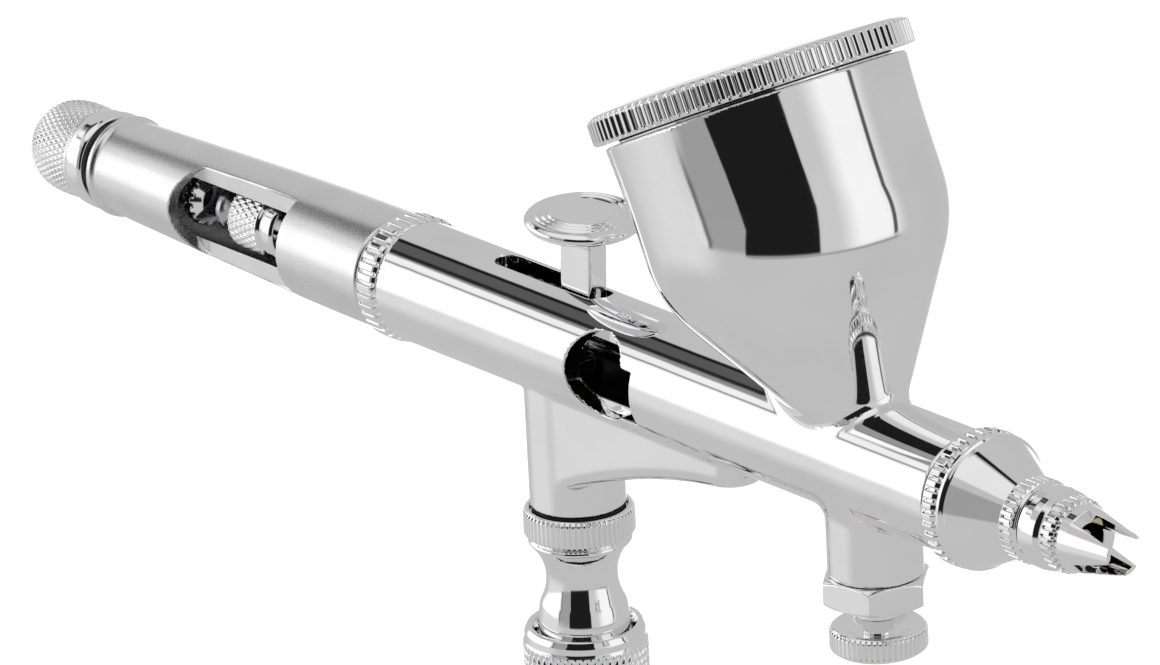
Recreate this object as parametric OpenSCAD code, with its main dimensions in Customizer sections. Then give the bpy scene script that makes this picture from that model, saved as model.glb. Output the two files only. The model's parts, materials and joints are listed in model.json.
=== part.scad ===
// Gravity-feed double-action airbrush gun, built from its separate working pieces.
// Millimetres. +Z up, +X towards the nozzle, origin at the centre of the air inlet face.
// Every module is drawn with the barrel axis at z = 0 and lifted by axis_height.

/* [Barrel] */
// Height of the barrel axis above the air inlet face
axis_height = 57.0; // [50:0.5:64]
// Radius of the chromed barrel
barrel_r = 6.0; // [5.5:0.1:6.5]
// Where the barrel starts, behind the valve axis
barrel_rear = -22.9; // [-26:0.1:-20]
// Where the barrel ends, in front of the valve axis
barrel_front = 58.7; // [50:0.1:64]
// Radius of the trigger chamber bored in the barrel
chamber_r = 4.1; // [3.9:0.05:4.3]
// Front end of the trigger chamber
chamber_front = 17.2; // [14:0.1:20]
// Radius of the spigot that the handle screws onto
spigot_r = 4.9; // [4.6:0.05:5.2]
// Rear end of that spigot
spigot_rear = -33.0; // [-36:0.5:-30]
// Width of the slot the trigger passes through
slot_w = 2.9; // [2.6:0.1:3.4]
// Rear and front ends of the trigger slot
slot_x = [-10.2, 6.2]; // [-12:0.1:8]
// Centre of the side window's round end
window_x = 10.7; // [9:0.1:12]

/* [Handle] */
// Rear end of the handle tube
handle_rear = -71.4; // [-76:0.1:-66]
// Bore radius of the handle tube
handle_bore = 4.0; // [3.8:0.05:4.2]
// Cutaway: centre of its round end and its square end
cutaway_x = [-52.4, -39.1]; // [-56:0.1:-38]
// Cutaway: half height of the round end
cutaway_r = 5.05; // [4.5:0.05:5.3]
// Cutaway: depth plane measured from the axis
cutaway_y = -2.6; // [-3:0.1:-2]

/* [Trigger] */
// Height of the trigger pivot relative to the barrel axis
pivot_z = -5.4; // [-6:0.1:-5]
// Thickness of the trigger plate where it passes the slot
plate_t = 2.3; // [2:0.1:2.5]
// Radius of the trigger button
button_r = 5.8; // [5:0.1:6.5]
// Centre of the underside of the button
button_at = [3.05, 11.6]; // [2:0.1:13]

/* [Cup] */
// Tilt of the cup axis towards the handle, in degrees
cup_tilt = 25.5; // [20:0.5:30]
// Where the cup axis meets the barrel axis
cup_x = 45.2; // [42:0.1:50]
// Outer radius of the upper part of the cup
cup_r = 14.55; // [13.5:0.1:15.5]
// Wall thickness of the cup
cup_wall = 1.05; // [0.7:0.1:1.4]
// Height of the cup mouth along its axis
cup_h = 35.1; // [33:0.1:39]
// Half angle of the cup's cone
cone_angle = 32.9; // [30:0.1:36]
// Radius of the knurled lid rim
lid_r = 15.8; // [15:0.1:17]

/* [Nose] */
// Angle of the crown's first notch from straight up, in degrees
crown_turn = 20.5; // [0:0.5:120]

/* [Air valve] */
// Radius and lower end of the valve boss under the barrel
boss_r = 4.7; // [4.4:0.05:5]
boss_z = -16.9; // [-18:0.1:-15]
// Bore radius of the valve boss
boss_bore = 3.0; // [2.8:0.05:3.2]
// Radius of the valve body's knurled ring
ring_r = 5.45; // [5.2:0.05:5.8]
// Radius of the coupler sleeve
sleeve_r = 6.1; // [5.8:0.05:6.5]
// Radius of the hose thread, 1/8 inch parallel pipe
thread_r = 4.864; // [4.864:0.001:4.864]

/* [Air control] */
// Centre of the front air control boss
mac_x = 44.6; // [42:0.1:47]
// Radius of the front air control boss
mac_r = 4.55; // [4.3:0.05:4.8]

// Slope of the air way drilled through the web, in degrees
air_slope = 21.9; // [21:0.1:23]

/* [Hidden] */
$fn = 64;
// Height of the air way that runs to the nose
air_way_z = -3.9;

chrome = [0.86, 0.87, 0.89];
satin = [0.74, 0.75, 0.77];
steel = [0.62, 0.63, 0.66];
brass = [0.80, 0.68, 0.42];
rubber = [0.08, 0.08, 0.09];
ptfe = [0.93, 0.93, 0.90];

// ---------- helpers ----------

// Turned piece on the barrel axis, profile given as [radius, x]
module turned(pts) rotate([0, 90, 0]) rotate_extrude() polygon(pts);

// Turned piece on a vertical axis, profile given as [radius, z]
module upright(pts) rotate_extrude() polygon(pts);

// Round rod along X between two stations
module rod_x(r, a, b) translate([a, 0, 0]) rotate([0, 90, 0]) cylinder(r = r, h = b - a);

// Round rod along Z between two heights
module rod_z(r, a, b) translate([0, 0, a]) cylinder(r = r, h = b - a);

// Round rod along Y, centred, at a point of the XZ plane
module rod_y(r, x, z, half) translate([x, 0, z]) rotate([90, 0, 0])
    cylinder(r = r, h = 2 * half, center = true);

// Straight knurl: n teeth of radius r and depth d
module knurl(r, d, n, h) linear_extrude(h) polygon([for (i = [0:n - 1], k = [0:3])
    let (a = (i + [0.0, 0.22, 0.5, 0.72][k]) * 360 / n, q = k < 2 ? r : r - d) [q * cos(a), q * sin(a)]]);

// The same knurl laid along X
module knurl_x(r, d, n, a, b) translate([a, 0, 0]) rotate([0, 90, 0]) knurl(r, d, n, b - a);

// Ring of round wire lying in a plane normal to Z
module o_ring(r, w) rotate_extrude() translate([r, 0]) circle(r = w, $fn = 20);

// Coil spring standing on z = 0
module coil(r, w, turns, length) {
    per = 14; sides = 8; n = per * turns;
    pts = [for (i = [0:n], k = [0:sides - 1])
        let (a = i * 360 / per, b = k * 360 / sides, q = r + w * cos(b))
        [q * cos(a), q * sin(a), w + (length - 2 * w) * i / n + w * sin(b)]];
    walls = [for (i = [0:n - 1], k = [0:sides - 1])
        [i * sides + k, i * sides + (k + 1) % sides, (i + 1) * sides + (k + 1) % sides, (i + 1) * sides + k]];
    polyhedron(pts, concat(walls, [[for (k = [sides - 1:-1:0]) k]],
        [[for (k = [0:sides - 1]) n * sides + k]]));
}

// Moves a piece drawn upright into the tilted cup's frame
module on_cup() translate([cup_x, 0, 0]) rotate([0, -cup_tilt, 0]) children();

// Radius of the cup's cone at a height along its axis
function cone_at(h) = (h + 2.8) * tan(cone_angle);

// Arc of points, centre c, radius r, from angle a to b in n steps
function arc(c, r, a, b, n) = [for (i = [0:n]) let (t = a + (b - a) * i / n) [c[0] + r * cos(t), c[1] + r * sin(t)]];

// ---------- barrel ----------

module body_outer() {
    rod_x(barrel_r, barrel_rear, barrel_front);
    rod_x(spigot_r, spigot_rear, barrel_rear + 1);
    rod_x(5.0, barrel_front - 1, 62.8);
    rod_z(boss_r, boss_z, -2);
    gusset();
    translate([mac_x, 0, 0]) upright([[0, -2], [5.6, -2], [5.5, -4.6], [5.0, -6.2], [4.7, -7.4],
        [mac_r, -8.8], [mac_r, -11.3], [mac_r - 0.3, -11.6], [0, -11.6]]);
}

// Web that blends the valve boss forward into the barrel
module gusset() intersection() {
    rotate([90, 0, 0]) linear_extrude(9, center = true)
        polygon([[0, -2], [28.6, -2], [28.4, -6.4], [26.8, -7.4], [23, -8.3], [18, -9.1], [13, -10.3],
            [9, -11.5], [6.4, -12.6], [4.4, -13.6], [0, -13.6]]);
    union() {
        translate([0, 0, -20]) linear_extrude(20) polygon([[-1, -4.1], [6, -4.1], [16, -3.8], [24, -3.1],
            [24, 3.1], [16, 3.8], [6, 4.1], [-1, 4.1]]);
        translate([24.2, 0, -20]) cylinder(r = 3.15, h = 20);
    }
}

module body_cuts() {
    rod_x(chamber_r, -20.0, chamber_front);
    rod_x(3.4, spigot_rear - 1, -19.9);
    rod_x(2.4, chamber_front - 1, 27);
    rod_x(0.68, 20, 40);
    rod_x(1.9, 29.5, 59);
    rod_x(2.42, 56.5, 64);
    translate([slot_x[0] + slot_w / 2, 0, 0]) cylinder(d = slot_w, h = 9);
    translate([slot_x[1] - slot_w / 2, 0, 0]) cylinder(d = slot_w, h = 9);
    translate([slot_x[0] + slot_w / 2, -slot_w / 2, 0]) cube([slot_x[1] - slot_x[0] - slot_w, slot_w, 9]);
    side_window();
    rod_z(boss_bore, boss_z - 1, 0);
    rod_z(3.4, boss_z - 1, -14.2);
    translate([mac_x, 0, 0]) rod_z(3.2, -12, -7.6);
    translate([mac_x, 0, 0]) rod_z(0.9, -8, -1);
    rod_y(0.51, -1.2, -2.6, 4.4);
    on_cup() rod_z(2.1, 0.5, 9);
    air_passage();
}

// Opening in the near wall of the trigger chamber
module side_window() {
    translate([window_x, 0, 0.2]) rotate([90, 0, 0]) translate([0, 0, 3]) cylinder(r = 4.3, h = 5);
    translate([window_x, -8, -3.1]) cube([5.4, 5, 5.3]);
    translate([window_x, -8, 2.0]) cube([1.9, 5, 1.9]);
    translate([window_x + 1.9, -3, 2.4]) rotate([90, 0, 0]) cylinder(r = 1.5, h = 5);
}

// Drilled air way: up the web, then forward under the paint channel to the nose
module air_passage() {
    translate([0, 0, air_way_z]) rod_x(0.65, 22.5, 64);
    translate([24.6, 0, air_way_z]) rotate([0, -90 - air_slope, 0]) rod_z(0.55, 0, 24.0);
}

module body_shell() color(chrome) difference() {
    body_outer();
    body_cuts();
}

module rear_ring() color(chrome) difference() {
    intersection() {
        knurl_x(6.35, 0.4, 36, -25.8, barrel_rear - 0.02);
        turned([[0, -26], [5.7, -26], [6.35, -25.2], [6.35, -23.5], [5.9, -22.9], [0, -22.9]]);
    }
    rod_x(spigot_r + 0.02, -27, -22);
}

// ---------- cup ----------

module paint_cup() color(chrome) difference() {
    on_cup() rotate_extrude() polygon(concat(
        [[0, 3.4], [cone_at(3.4), 3.4]],
        [[cone_at(17.6), 17.6], [cone_at(18.8) - 0.12, 18.8]],
        [[cup_r - 0.4, 20.2], [cup_r - 0.08, 22.0], [cup_r, 26], [cup_r + 0.12, 31], [cup_r + 0.3, cup_h],
            [cup_r - cup_wall + 0.3, cup_h], [cup_r - cup_wall, 30], [cup_r - cup_wall, 21.6],
            [cup_r - cup_wall - 0.6, 20.0], [cone_at(17.6) - 1.3, 18.2], [2.6, 5.5], [2.1, 5.2], [2.1, 3.4]]));
    rod_x(barrel_r + 0.01, 20, 70);
    on_cup() rod_z(2.1, 0, 6);
}

module cup_lid() color(chrome) on_cup() difference() {
    union() {
        translate([0, 0, cup_h + 0.3]) intersection() {
            knurl(lid_r, 0.45, 96, 3.4);
            upright([[0, 0], [lid_r - 0.4, 0], [lid_r, 0.35], [lid_r, 2.35], [lid_r - 0.9, 2.9],
                [lid_r - 3.6, 3.2], [0, 3.35]]);
        }
        upright([[0, cup_h - 2.6], [13.0, cup_h - 2.6], [13.35, cup_h - 2.2], [13.35, cup_h + 1],
            [0, cup_h + 1]]);
    }
    upright([[0, cup_h - 3], [12.4, cup_h - 3], [12.4, cup_h + 1.6], [0, cup_h + 2.4]]);
    difference() {
        rod_z(13.4, cup_h - 1.75, cup_h - 0.75);
        rod_z(12.85, cup_h - 2, cup_h);
    }
    rod_z(0.8, cup_h, cup_h + 5);
}

module lid_seal() color(rubber) on_cup() translate([0, 0, cup_h - 1.25]) o_ring(13.3, 0.42);

// ---------- nose ----------

module nozzle_cap() color(chrome) difference() {
    union() {
        intersection() {
            knurl_x(6.7, 0.5, 38, 59.0, 61.0);
            turned([[0, 59], [6.15, 59], [6.65, 59.5], [6.65, 60.5], [6.25, 61], [0, 61]]);
        }
        turned([[0, 60.5], [6.1, 60.5], [6.1, 60.95], [6.5, 61.0], [6.6, 61.15], [6.6, 61.5], [6.2, 61.8],
            [6.1, 62.2], [3.75, 66.9], [3.75, 69.0], [2.9, 69.05], [2.9, 71.9], [0, 71.9]]);
        knurl_x(4.05, 0.25, 36, 67.1, 68.7);
    }
    turned([[0, 58], [5.05, 58], [5.05, 63.0], [4.3, 64.4], [2.6, 67.0], [2.1, 68.5], [2.1, 73], [0, 73]]);
}

// Crown that guards the needle tip: three prongs, the first notch between them at crown_turn
module needle_cap() color(chrome) difference() {
    union() {
        turned([[0, 69.2], [3.5, 69.2], [3.85, 69.6], [3.98, 70.4], [3.9, 71.5], [3.55, 72.1], [0, 72.1]]);
        intersection() {
            knurl_x(3.6, 0.3, 28, 72.0, 73.8);
            turned([[0, 72], [3.3, 72], [3.6, 72.4], [3.6, 73.4], [3.25, 73.8], [0, 73.8]]);
        }
        turned([[0, 73.7], [3.05, 73.7], [3.2, 74.2], [3.1, 75.0], [2.1, 79.9], [0, 79.9]]);
    }
    rod_x(2.95, 69, 72.15);
    rod_x(1.72, 72, 81);
    for (turn = [0:120:240]) rotate([crown_turn + turn, 0, 0]) linear_extrude(5)
        polygon([[75.2, -0.95], [80.3, -1.3], [80.3, 1.3], [75.2, 0.95]]);
}

module fluid_nozzle() color(brass) difference() {
    union() {
        rod_x(2.4, 57, 63.2);
        translate([63.2, 0, 0]) rotate([0, 90, 0]) cylinder(r = 3.0, h = 1.8, $fn = 6);
        turned([[0, 64.9], [1.9, 64.9], [1.7, 68], [0.85, 74.4], [0, 74.4]]);
    }
    rod_x(1.2, 56, 65);
    turned([[0, 64.9], [1.2, 64.9], [0.85, 70], [0.32, 74.2], [0.32, 75], [0, 75]]);
}

module nozzle_seal() color(ptfe) turned([[2.44, 62.82], [2.85, 62.82], [2.85, 63.18], [2.44, 63.18]]);

module cap_o_ring() color(rubber) translate([58.85, 0, 0]) rotate([0, 90, 0])
    upright([[5.05, -0.13], [5.75, -0.13], [5.75, 0.13], [5.05, 0.13]]);

// ---------- needle and its carrier ----------

module needle() color(steel) turned([[0, -54.0], [1.5, -54.0], [2.3, -53.5], [2.3, -52.8], [1.3, -52.2],
    [1.05, -51.5], [0.6, -51.5], [0.6, 66], [0.3, 72.4], [0.04, 77.0], [0, 77.0]]);

module needle_packing() color(ptfe) turned([[0.66, 23.6], [2.36, 23.6], [2.36, 26.4], [0.66, 26.4]]);

module packing_screw() color(brass) difference() {
    rod_x(2.38, 18.4, 23.5);
    rod_x(0.68, 18, 24);
    translate([18, -0.3, -3]) cube([1.0, 0.6, 6]);
}

module needle_guide() color(steel) difference() {
    union() {
        turned([[0, -4.3], [2.6, -4.3], [2.6, -2.9], [2.3, -2.6], [0, -2.6]]);
        rod_x(1.75, -48.4, -4.2);
    }
    rod_x(0.62, -50, -2);
    translate([-49, -0.25, -3]) cube([8, 0.5, 6]);
    translate([-49, -3, -0.25]) cube([8, 6, 0.5]);
}

module needle_spring() color(steel) translate([-21.6, 0, 0]) rotate([0, 90, 0]) coil(2.6, 0.28, 9, 17.2);

module tension_screw() color(satin) difference() {
    union() {
        rod_x(3.35, -36.2, -21.8);
        intersection() {
            knurl_x(3.65, 0.25, 36, -40.4, -36.1);
            turned([[0, -40.4], [3.3, -40.4], [3.65, -40.0], [3.65, -36.5], [3.4, -36.1], [0, -36.1]]);
        }
    }
    rod_x(1.82, -41, -21);
}

module chuck_nut() color(chrome) difference() {
    turned([[0, -51.0], [2.6, -51.0], [3.4, -50.1], [3.4, -45.6], [3.05, -45.35], [3.05, -44.95],
        [3.3, -44.7], [3.3, -43.5], [3.0, -43.2], [0, -43.2]]);
    rod_x(1.81, -48.7, -43);
    rod_x(0.68, -52, -48);
}

// ---------- trigger ----------

module trigger_lever() color(chrome) difference() {
    union() {
        rotate([90, 0, 0]) linear_extrude(plate_t, center = true) polygon([[5.25, 11.58], [4.7, 4.4],
            [4.5, 2.6], [4.1, 0.4], [2.6, -1.9], [2.2, -4.3], [1.3, -5.6], [-0.9, -5.6], [0.3, -4.0],
            [1.75, -2.9], [1.75, 0.2], [0.85, 1.6], [0.75, 3.4], [0.25, 4.6], [0.75, 11.89]]);
        rotate([90, 0, 0]) linear_extrude(3.6, center = true) polygon([[4.4, 2.2], [4.1, 0.4], [3.0, -1.3],
            [1.75, -1.3], [1.75, 0.2], [0.85, 1.6], [0.75, 3.5]]);
        rod_y(1.6, 0, pivot_z, plate_t / 2);
    }
    rotate([90, 0, 0]) linear_extrude(1.9, center = true)
        polygon([[-2, -1.5], [2.7, -1.5], [6, -2.9], [6, 2.5], [4.2, 2.6], [0, 3.4], [-2, 3.4]]);
    rod_y(0.55, 0, pivot_z, 4);
}

module trigger_button() color(chrome) translate([button_at[0], 0, button_at[1]]) rotate([0, 4, 0])
    upright([[0, 0.15], [2.9, 0.15], [4.6, 0.35], [5.5, 0.8], [button_r, 1.3], [button_r - 0.1, 1.65],
        [5.4, 1.95], [4.85, 2.1], [4.75, 2.0], [4.65, 2.0], [4.55, 2.2], [4.0, 2.3], [3.9, 2.2],
        [3.8, 2.2], [3.7, 2.35], [2.4, 2.2], [0, 2.05]]);

module trigger_pin() color(steel) rod_y(0.5, 0, pivot_z, 2.1);

module aux_lever() color(steel) difference() {
    union() {
        intersection() {
            rod_x(3.55, -2.0, -1.1);
            translate([-3, -2.6, -2.6]) cube([3, 5.2, 7]);
        }
        rod_y(0.95, -1.2, -2.6, 2.2);
    }
    translate([-3, -1.3, -0.9]) cube([3, 2.6, 5.2]);
    rod_y(0.55, -1.2, -2.6, 4);
}

module aux_pin() color(steel) rod_y(0.5, -1.2, -2.6, 4.2);

// ---------- handle ----------

module handle() color(satin) difference() {
    turned([[0, handle_rear], [5.0, handle_rear], [5.2, -71.2], [5.2, -70.8], [4.92, -70.2], [4.9, -69.5],
        [5.1, -62], [5.3, -56], [5.55, -49], [5.75, -42], [5.88, -34], [5.94, -27], [5.8, -26.1], [0, -26.1]]);
    rod_x(handle_bore, -64, -33.4);
    rod_x(spigot_r + 0.05, -33.5, -25);
    rod_x(1.56, -73, -63);
    translate([cutaway_x[0], cutaway_y, 0]) rotate([90, 0, 0]) cylinder(r = cutaway_r, h = 5);
    translate([cutaway_x[0], cutaway_y - 5, -cutaway_r])
        cube([cutaway_x[1] - cutaway_x[0], 5, 2 * cutaway_r]);
}

module stop_knob() color(chrome)
    turned([[0, -84.0], [1.6, -83.9], [2.9, -83.4], [3.9, -82.5], [4.5, -81.4], [4.8, -80.0], [4.85, -78.4],
        [4.8, -76.2], [4.6, -75.8], [4.85, -75.4], [5.05, -74.8], [5.1, -73.3], [4.8, -72.7],
        [2.4, -72.7], [2.4, -71.7], [1.5, -71.7], [1.5, -58.4], [0, -58.4]]);

module stop_tip() color(chrome) intersection() {
    knurl_x(2.8, 0.3, 16, -58.38, -56.4);
    turned([[0, -58.38], [2.6, -58.38], [2.8, -58.1], [2.8, -57.1], [2.2, -56.7], [1.6, -56.4], [0, -56.4]]);
}

module knob_o_ring() color(rubber) translate([-72.2, 0, 0]) rotate([0, 90, 0])
    upright([[2.45, -0.45], [4.1, -0.45], [4.1, 0.45], [2.45, 0.45]]);

// ---------- air valve ----------

module valve_body() color(chrome) difference() {
    union() {
        translate([0, 0, -20.1]) intersection() {
            knurl(ring_r, 0.22, 60, 3.0);
            upright([[0, 0], [5.0, 0], [ring_r, 0.45], [ring_r, 2.6], [ring_r - 0.3, 3.0], [0, 3.0]]);
        }
        upright(concat([[0, -20.0], [4.9, -20.0]], arc([8.6, -24.4], 5.1, 130, 218, 12),
            [[4.45, -28.4], [4.5, -29.9], [3.95, -30.2], [3.95, -34.6], [3.5, -35.2], [0, -35.2]]));
    }
    rod_z(4.8, -17.7, -16);
    rod_z(2.6, -20.2, -17);
    rod_z(1.35, -21, -20);
    rod_z(2.2, -33.4, -20.75);
    rod_z(1.5, -36, -33);
    rotate_extrude() translate([4.1, -33.4]) circle(r = 0.56);
}

module valve_washer() color(rubber) difference() {
    rod_z(4.6, -17.6, -16.95);
    rod_z(2.7, -18, -16);
}

module valve_plunger() color(steel) difference() {
    union() {
        rod_z(2.65, -8.4, -4.3);
        rod_z(1.0, -24.6, -8.3);
        upright([[0, -22.4], [1.7, -22.4], [1.9, -22.1], [1.9, -20.8], [0, -20.8]]);
    }
    translate([-3, -1.5, -7.4]) cube([6, 3, 4]);
    rod_y(0.51, 0, pivot_z, 4);
}

module plunger_bush() color(brass) difference() {
    rod_z(2.98, -12.4, -10.8);
    rod_z(1.06, -13, -10);
    rod_z(1.9, -12.0, -11.2);
}

module plunger_o_ring() color(rubber) difference() {
    rod_z(1.88, -11.95, -11.25);
    rod_z(1.06, -13, -11);
}

module valve_spring() color(steel) translate([0, 0, -30.3]) coil(1.6, 0.22, 6, 7.8);

module valve_retainer() color(brass) difference() {
    rod_z(2.18, -32.6, -30.4);
    rod_z(1.15, -33, -30);
}

// ---------- front air control ----------

module mac_housing() color(chrome) translate([mac_x, 0, 0]) difference() {
    union() {
        rod_z(3.18, -11.7, -7.8);
        intersection() {
            translate([0, 0, -14.3]) rotate([0, 0, 12]) cylinder(r = 5.45, h = 2.68, $fn = 6);
            upright([[0, -14.3], [4.8, -14.3], [5.45, -13.9], [5.45, -12.0], [4.9, -11.62], [0, -11.62]]);
        }
        rod_z(2.1, -15.9, -14.2);
    }
    rod_z(1.55, -17, -9.4);
    rod_z(2.25, -13.3, -12.3);
    rod_z(0.9, -10, -7);
}

module mac_screw() color(chrome) translate([mac_x, 0, 0]) difference() {
    union() {
        intersection() {
            translate([0, 0, -19.3]) knurl(4.65, 0.2, 52, 2.5);
            upright([[0, -19.3], [4.3, -19.3], [4.65, -19.0], [4.65, -17.2], [4.35, -16.8], [0, -16.8]]);
        }
        rod_z(1.5, -17.6, -10.6);
        upright([[0, -10.8], [1.1, -10.8], [0.5, -8.6], [0, -8.6]]);
    }
    difference() {
        upright([[0, -17.6], [2.0, -17.6], [4.0, -16.7], [4.0, -16], [0, -16]]);
        rod_z(1.5, -18, -15);
    }
}

module mac_o_ring() color(rubber) translate([mac_x, 0, 0]) difference() {
    rod_z(2.22, -13.2, -12.4);
    rod_z(1.55, -14, -12);
}

// ---------- hose coupler ----------

module coupler_sleeve() color(chrome) difference() {
    upright([[0, -46.4], [5.4, -46.4], [5.8, -46.0], [5.8, -44.8], [sleeve_r, -44.4], [sleeve_r, -31.0],
        [5.92, -30.7], [5.92, -30.0], [5.65, -29.4], [5.2, -29.4], [4.9, -30.6], [0, -30.6]]);
    rod_z(4.65, -34.6, -28);
    rod_z(5.25, -38.2, -34.5);
    rod_z(5.25, -47, -40.4);
    rod_z(4.65, -41, -37);
}

module coupler_body() color(brass) difference() {
    union() {
        rod_z(4.55, -49.6, -31.4);
        upright([[0, -51.8], [5.0, -51.8], [5.5, -51.3], [5.5, -49.9], [5.0, -49.4], [0, -49.4]]);
        rod_z(thread_r, -57.0, -51.7);
    }
    rod_z(4.0, -36.2, -31);
    rod_z(2.3, -58, -36);
    for (a = [30:60:330]) rotate([0, 0, a]) translate([3.5, 0, -33.4]) rotate([0, 90, 0])
        cylinder(r = 0.55, h = 2);
    rotate_extrude() translate([4.2, -46.3]) square([1, 0.7]);
}

module coupler_balls() color(steel) for (a = [0:60:300]) rotate([0, 0, a + 30])
    translate([4.1, 0, -33.4]) sphere(r = 0.5, $fn = 20);

module coupler_spring() color(steel) translate([0, 0, -45.5]) coil(4.9, 0.22, 4, 5.0);

module coupler_clip() color(steel) difference() {
    rod_z(5.15, -46.2, -45.7);
    rod_z(4.22, -47, -45);
    translate([0, -0.8, -47]) cube([6, 1.6, 3]);
}

module coupler_o_ring() color(rubber) difference() {
    rod_z(3.95, -36.1, -35.3);
    rod_z(2.6, -37, -35);
}

// ---------- assembly ----------

module placed() translate([0, 0, axis_height]) children();

placed() body_shell();
placed() rear_ring();
placed() paint_cup();
placed() cup_lid();
placed() lid_seal();
placed() nozzle_cap();
placed() needle_cap();
placed() fluid_nozzle();
placed() nozzle_seal();
placed() cap_o_ring();
placed() needle();
placed() needle_packing();
placed() packing_screw();
placed() trigger_lever();
placed() trigger_button();
placed() trigger_pin();
placed() aux_lever();
placed() aux_pin();
placed() needle_guide();
placed() needle_spring();
placed() tension_screw();
placed() chuck_nut();
placed() handle();
placed() stop_knob();
placed() stop_tip();
placed() knob_o_ring();
placed() valve_body();
placed() valve_washer();
placed() valve_plunger();
placed() plunger_bush();
placed() plunger_o_ring();
placed() valve_spring();
placed() valve_retainer();
placed() mac_housing();
placed() mac_screw();
placed() mac_o_ring();
placed() coupler_sleeve();
placed() coupler_body();
placed() coupler_balls();
placed() coupler_spring();
placed() coupler_clip();
placed() coupler_o_ring();
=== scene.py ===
"""Gravity-feed airbrush gun: the visible model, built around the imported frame.

Lengths in the tables are millimetres in the gun's own axes: the barrel axis is y = z = 0 and the valve axis is
x = y = 0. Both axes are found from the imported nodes' boxes, so every piece lands where the CAD model has it.
"""
import json
import math

import bpy
import numpy as np
from mathutils import Matrix, Vector


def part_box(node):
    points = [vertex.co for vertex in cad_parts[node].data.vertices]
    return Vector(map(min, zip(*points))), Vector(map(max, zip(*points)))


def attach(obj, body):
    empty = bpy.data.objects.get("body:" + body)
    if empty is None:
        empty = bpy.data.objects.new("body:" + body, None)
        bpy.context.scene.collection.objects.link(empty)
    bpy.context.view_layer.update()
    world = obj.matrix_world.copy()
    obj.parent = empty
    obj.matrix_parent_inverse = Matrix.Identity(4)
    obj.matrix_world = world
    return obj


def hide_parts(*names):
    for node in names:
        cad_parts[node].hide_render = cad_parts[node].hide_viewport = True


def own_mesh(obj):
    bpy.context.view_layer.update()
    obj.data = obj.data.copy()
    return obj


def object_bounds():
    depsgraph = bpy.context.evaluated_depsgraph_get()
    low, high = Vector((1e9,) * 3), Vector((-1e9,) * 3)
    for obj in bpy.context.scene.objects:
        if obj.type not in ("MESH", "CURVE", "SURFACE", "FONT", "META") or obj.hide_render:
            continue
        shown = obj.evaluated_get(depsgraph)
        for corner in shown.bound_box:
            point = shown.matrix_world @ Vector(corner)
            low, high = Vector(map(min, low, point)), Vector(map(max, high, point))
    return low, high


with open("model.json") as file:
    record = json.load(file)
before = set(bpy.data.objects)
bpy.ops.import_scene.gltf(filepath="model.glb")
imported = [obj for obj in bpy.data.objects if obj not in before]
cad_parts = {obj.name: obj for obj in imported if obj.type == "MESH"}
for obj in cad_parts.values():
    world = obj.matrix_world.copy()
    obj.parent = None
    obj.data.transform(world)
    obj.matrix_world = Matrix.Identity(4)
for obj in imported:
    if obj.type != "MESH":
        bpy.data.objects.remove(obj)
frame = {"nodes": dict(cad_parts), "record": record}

cad_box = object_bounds()
MM = 0.001


def middle(node):
    lo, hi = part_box(node)
    return (lo + hi) / 2


# the gun's own origin: valve axis from the valve body, barrel axis from the ring behind the barrel
ORIGIN = Vector((middle("valve_body").x, 0.0, middle("rear_ring").z))
TAU = 2 * math.pi


# ---------- distance fields, millimetres ----------

def smax(a, b, k):
    """Larger of two fields, with the edge between them rounded over k."""
    h = np.clip(0.5 - 0.5 * (b - a) / k, 0, 1)
    return b + (a - b) * h + k * h * (1 - h)


def smin(a, b, k):
    """Smaller of two fields, with a fillet of about k between them."""
    return -smax(-a, -b, k)


def smooth(t):
    t = np.clip(t, 0, 1)
    return t * t * (3 - 2 * t)


def between(t, lo, hi):
    return np.maximum(lo - t, t - hi)


def rod(u, v, t, r, lo, hi, edge=0.2):
    """Round bar of radius r about the axis u = v = 0, from t = lo to t = hi."""
    return smax(np.hypot(u, v) - r, between(t, lo, hi), edge)


def polygon(u, v, pts):
    """Signed distance to a closed polygon in the plane of u and v."""
    best = np.full(np.shape(u), 1e9)
    inside = np.zeros(np.shape(u), bool)
    for (ax, ay), (bx, by) in zip(pts, pts[1:] + pts[:1]):
        ex, ey = bx - ax, by - ay
        wx, wy = u - ax, v - ay
        t = np.clip((wx * ex + wy * ey) / (ex * ex + ey * ey), 0, 1)
        best = np.minimum(best, (wx - ex * t) ** 2 + (wy - ey * t) ** 2)
        if ay != by:
            crossing = ((ay > v) != (by > v)) & (u < ax + (v - ay) * ex / ey)
            inside ^= crossing
    return np.where(inside, -1.0, 1.0) * np.sqrt(best)


# ---------- meshing ----------

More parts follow.
